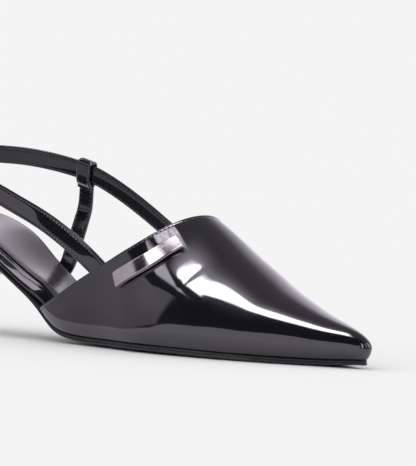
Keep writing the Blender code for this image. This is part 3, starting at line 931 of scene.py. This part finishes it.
def finerStops(stops, parts):  # more stops along a smooth line through the given ones
    fine = []
    for k in range(len(stops) - 1):
        four = [stops[min(max(k + d, 0), len(stops) - 1)] for d in (-1, 0, 1, 2)]
        for p in range(parts):
            t = p / parts
            weights = (-t + 2 * t * t - t ** 3, 2 - 5 * t * t + 3 * t ** 3,
                       t + 4 * t * t - 3 * t ** 3, -t * t + t ** 3)
            here, out, wide = [sum(w * stop[n] for w, stop in zip(weights, four)) / 2 for n in range(3)]
            fine.append((here, unit(out), unit(wide)))
    return fine + [stops[-1]]


sidePath = finerStops(sideStops(), 3)
side, sideStitched = sweepPiece("sideStrap", sidePath, strapSection(sideShape, 0.00006))
setLooks(side, strapPatent)
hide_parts("side_strap")
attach(side, "root")
print("side strap made")

heelShape = {
    "breast": 0.185,
    "tipLength": 0.0130,
    "tipHalf": 0.0062,
    "tipHeight": 0.0045,
    "steps": 18,
    "levels": [0.0, 0.02, 0.06, 0.12, 0.20, 0.30, 0.42, 0.54, 0.66, 0.78, 0.88, 0.95, 0.985, 1.0],
    "soft": 0.0003,
    # height and inset of the tip's rings
    "tipRings": [
        (0.0045, 0.0009), (0.0045, 0.0003), (0.0043, 0.0001), (0.0036, 0.0),
        (0.0012, 0.0), (0.0005, 0.0001), (0.00015, 0.0005), (0.0, 0.0014),
    ],
}


def tipPoint(share, side, inset=0.0):
    shape = heelShape
    x = tipBack + inset + (shape["tipLength"] - 2 * inset) * math.sin(share * math.pi / 2) ** 1.6
    return x, side * (shape["tipHalf"] - inset) * math.sin(min(share * 1.6, 1.0) * math.pi / 2)


def aroundHeel(pointAt):
    shares = [k / heelShape["steps"] for k in range(heelShape["steps"] + 1)]
    return [pointAt(share, -1) for share in shares] + [pointAt(share, 1) for share in reversed(shares)]


def makeHeel():
    shape = heelShape
    rings = []
    for level in shape["levels"]:
        waist = 1 - (1 - level) ** 2.3
        soft = shape["soft"] * (1 - ease(level / 0.02) + ease((level - 0.985) / 0.015))

        def place(share, sign):
            x, y = rail(turnOf(shape["breast"]) * share, sign, last["hemTuck"] + soft)
            tipX, tipY = tipPoint(share, sign, soft)
            top = underAt(x) - last["gap"]
            z = top + (shape["tipHeight"] + last["gap"] - top) * level
            return x + (tipX - x) * waist, y + (tipY - y) * waist, z

        rings.append(aroundHeel(place))
    return smoothOver(loftPiece("heel", rings))


def makeHeelTip():
    rings = []
    for z, inset in heelShape["tipRings"]:
        rings.append(aroundHeel(lambda share, sign: (*tipPoint(share, sign, inset), z)))
    return smoothOver(loftPiece("heelTip", rings))


heel = makeHeel()
setLooks(heel, heelPatent)
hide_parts("heel")
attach(heel, "root")
heelTip = makeHeelTip()
setLooks(heelTip, tipRubber)
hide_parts("heel_tip")
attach(heelTip, "root")
print("heel made")

barShape = {
    "width": 0.0068,
    "thickness": 0.0021,
    "low": (0.559, 0.506),
    "middle": (0.621, 0.659),
    "high": (0.658, 0.806),
    "middleShare": 0.53,
    "lift": 0.0007,         # of both ends
    "liftWay": (0.63, -0.78, 0.04),
    "twist": (-3.5, 1.5),   # degrees at its low and high end
    "endInset": 0.0008,
    "sharp": 24,            # degrees from which an edge stays sharp
    "stops": 8,
}


def barStops():
    shape = barShape
    rows = [(0.0, *shape["low"]), (shape["middleShare"], *shape["middle"]), (1.0, *shape["high"])]
    alongLine, heightLine = smoothCurve(rows, 1), smoothCurve(rows, 2)
    places, normals = [], []
    for k in range(shape["stops"] + 1):
        share = k / shape["stops"]
        here, normal = onSkin(alongLine(share), last["throatRise"] * heightLine(share), -1)
        twist = math.radians(shape["twist"][0] * (1 - share) + shape["twist"][1] * share)
        turned = unit(normal + math.tan(twist) * np.array([0.0, 0.0, 1.0]))
        lift = unit(np.array(shape["liftWay"])) * shape["lift"] * (2 * share - 1) ** 2
        places.append(here + normal * (last["gap"] + shape["thickness"] / 2) + lift)
        normals.append(turned)
    stops = []
    for k, here in enumerate(places):
        run = unit(places[min(k + 1, shape["stops"])] - places[max(k - 1, 0)])
        face = squareTo(run, normals[k])
        stops.append((here, face, unit(np.cross(run, face))))
    return stops


# The bar is a plate on a slightly wider foot, with a groove between the two
def makeBar():
    w, t = barShape["width"] / 2, barShape["thickness"] / 2
    profile = [(-t, 0.00025), (-t + 0.0002, 0.0), (-0.15 * t, 0.0), (-0.05 * t, 0.00008), (0.0, 0.00030),
               (0.12 * t, 0.00030), (0.2 * t, 0.00008), (0.3 * t, 0.0), (t - 0.0003, 0.0),
               (t - 0.00012, 0.00006), (t, 0.00022), (t, 0.0008), (t, w)]
    stops = finerStops(barStops(), 3)
    rings = []
    for height, inset in profile:
        ring = []
        for sign in (-1, 1):
            for centre, out, wide in stops[::-sign]:
                run = facing(unit(np.cross(out, wide)), stops[-1][0] - stops[0][0])
                end = min(inset, barShape["endInset"]) * ((centre is stops[0][0]) - (centre is stops[-1][0]))
                ring.append(tuple(centre + wide * sign * (w - inset) + out * height + run * end))
        rings.append(ring)
    piece = loftPiece("bar", rings)
    activate(piece)
    bpy.ops.object.shade_smooth_by_angle(angle=math.radians(barShape["sharp"]))
    return piece


bar = makeBar()
setLooks(bar, barMetal)
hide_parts("bar")
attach(bar, "root")
print("bar made")


# Stitches: one is modelled, and each place of a row has its own copy of it
def modelStitch():
    shape = stitchShape
    startFresh()
    bpy.ops.mesh.primitive_uv_sphere_add(segments=8, ring_count=6, radius=1)
    one = bpy.context.object
    one.name = "stitch"
    for vertex in one.data.vertices:
        x, y, z = vertex.co.z, vertex.co.x, vertex.co.y
        blunt = math.copysign(abs(x) ** shape["blunt"], x)
        droop = shape["droop"] * abs(x) ** 3
        thick = shape["radius"]
        vertex.co = (blunt * shape["length"] / 2, y * thick * shape["flat"], (z - droop) * thick)
    bpy.ops.object.shade_smooth()
    setLooks(one, stitchThread)
    return one


oneStitch = modelStitch()


def turnedTo(right, ahead, up, place):
    return Matrix([(right[n], ahead[n], up[n], place[n]) for n in range(3)] + [(0, 0, 0, 1)])


# One row: seats hold (place, outward way), and counted holds their places along the row in stitches
def stitchRow(name, seats, counted):
    places = np.array([seat[0] for seat in seats])
    ups = np.array([seat[1] for seat in seats])

    def at(count, rows=places):
        return np.array([np.interp(count, counted, rows[:, n]) for n in range(3)])

    startFresh()
    for k in range(math.ceil(counted[0]), math.floor(counted[-1])):
        way = unit(at(k + 0.7) - at(k + 0.3))
        up = squareTo(way, at(k + 0.5, ups))
        across = np.cross(up, way)
        here = at(k + 0.5) - up * stitchShape["sink"]
        turned = unit(way + across * stitchShape["slant"])
        copy = oneStitch.copy()
        copy.data = oneStitch.data.copy()
        bpy.context.scene.collection.objects.link(copy)
        copy.matrix_world = turnedTo(turned, across, up, here)
        copy.select_set(True)
        bpy.context.view_layer.objects.active = copy
    bpy.ops.object.join()
    row = bpy.context.object
    bpy.ops.object.transform_apply(location=True, rotation=True, scale=True)
    row.name = name
    row.data.name = name
    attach(row, "root")


def treeOf(piece):
    return BVHTree.FromObject(piece, bpy.context.evaluated_depsgraph_get())


def seatOn(tree, point, hint):  # nearest place of a finished piece, with its outward way
    place, normal = (np.array(found) for found in tree.find_nearest(Vector(point))[:2])
    return place, facing(normal, hint)


# Topline row, a little under the folded edge of the upper
def toplineRow():
    tree = treeOf(upper)
    edge = [np.array(places[0]) + shift for places in upperTable]
    inner = [np.array(places[3]) + shift for places in upperTable]
    seats, counted = [], []
    parts = 6    # between two lines of the upper
    for k in range(parts, parts * (len(edge) - 2) + 1):
        i, t = k // parts, k % parts / parts
        here = edge[i] * (1 - t) + edge[i + 1] * t
        down = inner[i] * (1 - t) + inner[i + 1] * t - here
        along = unit(edge[i + 1] - edge[i])
        down = squareTo(along, down)
        hint = facing(np.cross(along, down), here - np.array([here[0], shift[1], 0.015]))
        place, normal = seatOn(tree, here + down * upperShape["seam"] + hint * 0.0004, hint)
        if place[2] > upperShape["stitchesFrom"]:
            seats.append((place, normal))
            counted.append(upperStitched[i] * (1 - t) + upperStitched[i + 1] * t)
    stitchRow("toplineStitches", seats, counted)


toplineRow()

strapSeam = 0.0013    # from the strap's edge


def strapRow(name, tree, stops, counted, shape, sign, face, span=slice(None)):
    seats = []
    for centre, out, wide in stops[span]:
        aim = centre + shift + wide * sign * (shape["width"] / 2 - strapSeam) + out * face * 0.002
        seats.append(seatOn(tree, aim, out * face))
    stitchRow(name, seats, counted[span])


slingTree, sideTree = treeOf(sling), treeOf(side)
for rowName, sign, face in (("UpperOut", 1, 1), ("LowerOut", -1, 1), ("UpperIn", 1, -1), ("LowerIn", -1, -1)):
    strapRow("slingStitches" + rowName, slingTree, slingPath, slingStitched, slingShape, sign, face)
sideSpan = slice(*sideShape["stitched"])
for rowName, sign in (("Front", 1), ("Back", -1)):
    strapRow("sideStitches" + rowName, sideTree, sidePath, sideStitched, sideShape, sign, 1, sideSpan)

# Sock row, inside its edge from the heel along both sides as far as stitchesTo
sockTree = treeOf(sock)
sockSeats = []
for sign in (-1, 1):
    turns = stations(sockShape["stitchesTo"], 90)
    for turn in (reversed(turns) if sign < 0 else turns[1:]):
        along = alongOf(turn)
        x, y = rail(turn, sign, insoleEdge(along) + sockShape["margin"] + sockShape["seam"])
        aim = np.array([x, y, sockTop(along) + 0.001]) + shift
        sockSeats.append(seatOn(sockTree, aim, np.array([0, 0, 1.0])))
stitchRow("sockStitches", sockSeats, alongRow([seat[0] for seat in sockSeats], stitchShape["pitch"]))
bpy.data.objects.remove(oneStitch)
print("stitches made")

# Floor, plain studio light and the photograph's angle. Rises and turns are in degrees, and what has a
# softness holds it last.
studio = {
    "floor": 0.905,
    "backdrop": 0.905,
    "tint": (1.0, 0.94, 1.06),            # of all that the lacquer mirrors
    "dark": 0.015,
    "wall": 0.82,
    "wallTop": (39.0, 9.0),
    "wallOuter": (-140.0, 7.0),
    "wallInner": (160.0, 8.0),
    "wallShades": (-162.0, -144.0, 0.62, 1.2),
    "strips": ((-127.0, -113.0, 3.5), (46.0, 58.0, 3.5), (84.0, 92.0, 2.0), (120.0, 134.0, 3.5)),
    "stripRise": (7.0, 52.0, 4.0),
    "sheet": 0.90,
    "sheetTurns": (-33.0, 34.0, 1.0),
    "sheetTop": (14.4, 0.5),
    "sheetClimb": 0.43,                   # the sheet's far edge climbs toward the toe
    "card": 0.66,
    "cardTop": (25.2, 0.7),
    "cardCorner": (32.0, 0.35),           # toe end of the card's top, and how steeply it climbs there
    "cardToe": (-30.0, 1.0),
    "cardSlant": 0.35,
    "cardHeel": (-98.0, 10.0),
    "cardFoot": (6.0, 0.5),
    "cardClimb": 0.12,
    "cardSplit": (-45.0, 9.0),            # heelward of this the card has shades of its own
    "toeShades": (0.0, 14.0, 0.60, 1.0),
    "heelShades": (0.0, 16.0, 0.64, 0.76),
    "foot": 0.40,                         # painted shade: colour of the floor past the card's foot, seen only where the lacquer mirrors it
    "footY": (-0.055, 0.008),
    "footX": (0.025, 0.02),
    "footSlant": 0.7,
    "ceiling": 0.18,
}


def below(tree, value, limit, soft):
    return rangeNode(tree, value, limit - soft, limit + soft, 1.0, 0.0, "SMOOTHSTEP")


def above(tree, value, limit, soft):
    return rangeNode(tree, value, limit - soft, limit + soft, 0.0, 1.0, "SMOOTHSTEP")


def band(tree, value, low, high, soft):  # 1 between low and high, with soft borders
    return times(tree, above(tree, value, low, soft), below(tree, value, high, soft))


def leaned(tree, value, other, climb):  # a border of this value climbs as the other one grows
    return mathNode(tree, "MULTIPLY_ADD", other, -climb, value)


def paleFloor():
    startFresh()
    bpy.ops.mesh.primitive_plane_add(size=30)
    floor = bpy.context.object
    floor.name = "floor"
    look, tree, shader = newLook("paleFloor")
    # painted shade: where the lacquer mirrors it, the floor past the foot of the grey card is painted as dark
    # as the card; elsewhere the lacquer sees the floor in the light's tint
    x, y = splitNode(tree, coordsOf(tree))[:2]
    past = times(tree, below(tree, y, *studio["footY"]),
                 below(tree, leaned(tree, x, y, studio["footSlant"]), *studio["footX"]))
    mirrored = addNode(tree, "ShaderNodeLightPath").outputs["Is Glossy Ray"]
    plain, tinted, card = [(*[studio[key] * c for c in tint], 1) for key, tint in (
        ("floor", (1, 1, 1)), ("floor", studio["tint"]), ("foot", studio["tint"]))]
    near = mixNode(tree, mirrored, plain, tinted)
    # painted shade: for glossy rays only, the floor past the card's foot takes the dark colour
    color = mixNode(tree, times(tree, past, mirrored), near, card)
    feed(tree, shader, {"Base Color": color, "Roughness": 1.0, "Specular IOR Level": 0.0})
    setLooks(floor, look)


# What the lacquer mirrors: a pale sheet and a grey card on the outer side, dark above them, and pale
# walls behind and at the heel. x points to the toe and y to the inner side; turn is 0 straight out from
# the outer side and grows toward the toe.
def studioWorld():
    world = bpy.data.worlds.new("studio")
    bpy.context.scene.world = world
    world.use_nodes = True
    tree = world.node_tree
    ground = tree.nodes["Background"]
    x, y, z = splitNode(tree, coordsOf(tree, "Generated"))
    turn = times(tree, mathNode(tree, "ARCTAN2", x, times(tree, y, -1.0)), 180 / math.pi)
    rise = times(tree, mathNode(tree, "ARCSINE", z), 180 / math.pi)

    # wall behind, fading with height, and tall narrow lamps on the other sides
    outer = times(tree, below(tree, turn, *studio["wallOuter"]), rangeNode(tree, turn, *studio["wallShades"]))
    behind = plus(tree, outer, above(tree, turn, *studio["wallInner"]))
    wall = times(tree, behind, below(tree, rise, *studio["wallTop"]), studio["wall"])
    light = plus(tree, wall, studio["dark"])
    for low, high, strength in studio["strips"]:
        strip = times(tree, band(tree, turn, low, high, 1.5), band(tree, rise, *studio["stripRise"]))
        light = plus(tree, light, times(tree, strip, strength))
    # pale sheet in front
    sheet = times(tree, below(tree, leaned(tree, rise, turn, studio["sheetClimb"]), *studio["sheetTop"]),
                  band(tree, turn, *studio["sheetTurns"]), studio["sheet"])
    # grey card with a slanted side and a pointed upper corner
    corner, steep = studio["cardCorner"]
    past = mathNode(tree, "MAXIMUM", plus(tree, turn, corner), 0.0)
    card = times(tree, below(tree, leaned(tree, turn, rise, studio["cardSlant"]), *studio["cardToe"]),
                 above(tree, turn, *studio["cardHeel"]),
                 below(tree, leaned(tree, rise, past, steep), *studio["cardTop"]),
                 above(tree, leaned(tree, rise, turn, studio["cardClimb"]), *studio["cardFoot"]))
    split = studio["cardSplit"]
    toeward = times(tree, rangeNode(tree, rise, *studio["toeShades"]), above(tree, turn, *split))
    heelward = times(tree, rangeNode(tree, rise, *studio["heelShades"]), below(tree, turn, *split))
    card = times(tree, card, plus(tree, toeward, heelward), studio["card"])
    # faint light from high up on the inner side
    overY = mathNode(tree, "DIVIDE", y, mathNode(tree, "MAXIMUM", z, 0.02))
    ceiling = times(tree, above(tree, overY, 0.0, 0.15), above(tree, z, 0.15, 0.05), studio["ceiling"])
    light = plus(tree, light, sheet, card, ceiling)

    rays = addNode(tree, "ShaderNodeLightPath")
    camera, diffuse = rays.outputs["Is Camera Ray"], rays.outputs["Is Diffuse Ray"]
    even = mathNode(tree, "MAXIMUM", diffuse, camera)
    plain = plus(tree, times(tree, camera, studio["backdrop"]), diffuse)
    color = mixNode(tree, even, (*studio["tint"], 1), (1.0, 1.0, 1.0, 1))
    feed(tree, ground, {"Strength": mixNode(tree, even, light, plain, "FLOAT"), "Color": color})
    world.cycles.sampling_method = "NONE"


# Lamps that hang over the shoe, seen only in the lacquer. Each row of a lamp holds its heel side and its
# toe side as x and y, counted in lamp heights. Haze spreads from its heel side, as wide as "glowWidth"
# lamp widths, and the larger "glowFall" is, the faster it fades.
lampHeight = 0.35
lampGrid = (16, 40)
lamps = {
    "longLamp": {
        "strength": 13.0,
        "soft": 0.10,
        "glow": 2.4,
        "glowFall": 8.0,
        "glowWidth": 2.6,
        "rows": [
            (0.36, 0.06, 0.50, -0.20), (0.27, -0.07, 0.38, -0.30), (0.19, -0.22, 0.28, -0.38),
            (0.12, -0.42, 0.24, -0.50), (0.04, -0.60, 0.16, -0.64), (-0.03, -0.75, 0.06, -0.78),
            (-0.09, -0.92, 0.01, -0.94),
        ],
    },
    "sideLamp": {
        "strength": 6.5,
        "soft": 0.20,
        "glow": 0.0,
        "glowFall": 2.0,
        "glowWidth": 0.1,
        "rows": [
            (0.02, -0.04, 0.17, -0.20), (-0.10, -0.18, 0.06, -0.28), (-0.22, -0.36, -0.06, -0.44),
            (-0.36, -0.52, -0.20, -0.60),
        ],
    },
    "rimLamp": {
        "strength": 3.4,
        "soft": 0.12,
        "glow": 0.0,
        "glowFall": 2.0,
        "glowWidth": 0.1,
        "rows": [
            (-0.17, -0.68, -0.15, -1.25), (-0.34, -0.68, -0.34, -1.25), (-0.52, -0.68, -0.55, -1.25),
        ],
    },
}
lampEnds = 0.05    # softness of a lamp's two ends


def hangLamp(name, lamp):
    across, lengthwise = lampGrid
    soft, wide = lamp["soft"], lamp["glowWidth"]
    edges = [smoothCurve([(k, *row) for k, row in enumerate(lamp["rows"])], n + 1) for n in range(4)]

    def shares(i, j):
        return i / across * (wide + 1.2) - wide, j / lengthwise

    def place(i, j):
        t, run = shares(i, j)
        heelX, heelY, toeX, toeY = [edge(run * (len(lamp["rows"]) - 1)) for edge in edges]
        x = heelX + (toeX - heelX) * t
        y = heelY + (toeY - heelY) * t
        return np.array([x * lampHeight, y * lampHeight, lampHeight]) - shift

    piece = gridPiece(name, across, lengthwise, place, shares)
    look = bpy.data.materials.new(name)
    look.use_nodes = True
    look.cycles.emission_sampling = "NONE"
    tree = look.node_tree
    tree.nodes.clear()
    t, run = seamMap(tree)
    core = times(tree, band(tree, t, soft - 0.1, 1.1 - soft, soft), lamp["strength"])
    fade = mathNode(tree, "POWER", rangeNode(tree, t, -wide, 0.0, 0.0, 1.0), lamp["glowFall"])
    haze = times(tree, fade, lamp["glow"], below(tree, t, 0.5, 0.4))
    strength = times(tree, plus(tree, core, haze), band(tree, run, lampEnds, 1 - lampEnds, lampEnds))
    shine = addNode(tree, "ShaderNodeEmission", {"Color": (*studio["tint"], 1), "Strength": strength})
    clear = addNode(tree, "ShaderNodeBsdfTransparent")
    both = addNode(tree, "ShaderNodeAddShader", {0: shine.outputs[0], 1: clear.outputs[0]})
    addNode(tree, "ShaderNodeOutputMaterial", {"Surface": both.outputs[0]})
    setLooks(piece, look)
    piece.visible_camera = False
    piece.visible_diffuse = False
    piece.visible_shadow = False


paleFloor()
studioWorld()
for lampName, lampShape in lamps.items():
    hangLamp(lampName, lampShape)

cameraSettings = {
    "turn": 39.0,
    "rise": 2.36,
    "roll": 3.0,
    "far": 1.1812,
    "target": (0.175, 0.0, 0.025),
    "focal": 2714.23,     # in pixels of the 416 x 466 frame
    "centre": (221.45, 297.54),
    "frame": (416, 466),
}


def placeCamera():
    view = cameraSettings
    turn, rise, roll = (math.radians(view[key]) for key in ("turn", "rise", "roll"))
    right = np.array([math.cos(turn), math.sin(turn), 0.0])
    back = np.array([math.sin(turn) * math.cos(rise), -math.cos(turn) * math.cos(rise), math.sin(rise)])
    up = np.cross(back, right)
    rolledRight = right * math.cos(roll) + up * math.sin(roll)
    rolledUp = -right * math.sin(roll) + up * math.cos(roll)
    data = bpy.data.cameras.new("camera")
    camera = bpy.data.objects.new("camera", data)
    bpy.context.scene.collection.objects.link(camera)
    place = np.array(view["target"]) + shift + back * view["far"]
    camera.matrix_world = turnedTo(rolledRight, rolledUp, back, place)
    (wide, tall), (centreX, centreY) = view["frame"], view["centre"]
    data.sensor_width = 36.0
    data.lens = view["focal"] / tall * data.sensor_width
    data.shift_x = (wide / 2 - centreX) / tall
    data.shift_y = (centreY - tall / 2) / tall
    data.clip_start = 0.01
    data.clip_end = 100
    bpy.context.scene.camera = camera


placeCamera()
bpy.context.scene.view_settings.view_transform = "Standard"
print("stage set")

startFresh()
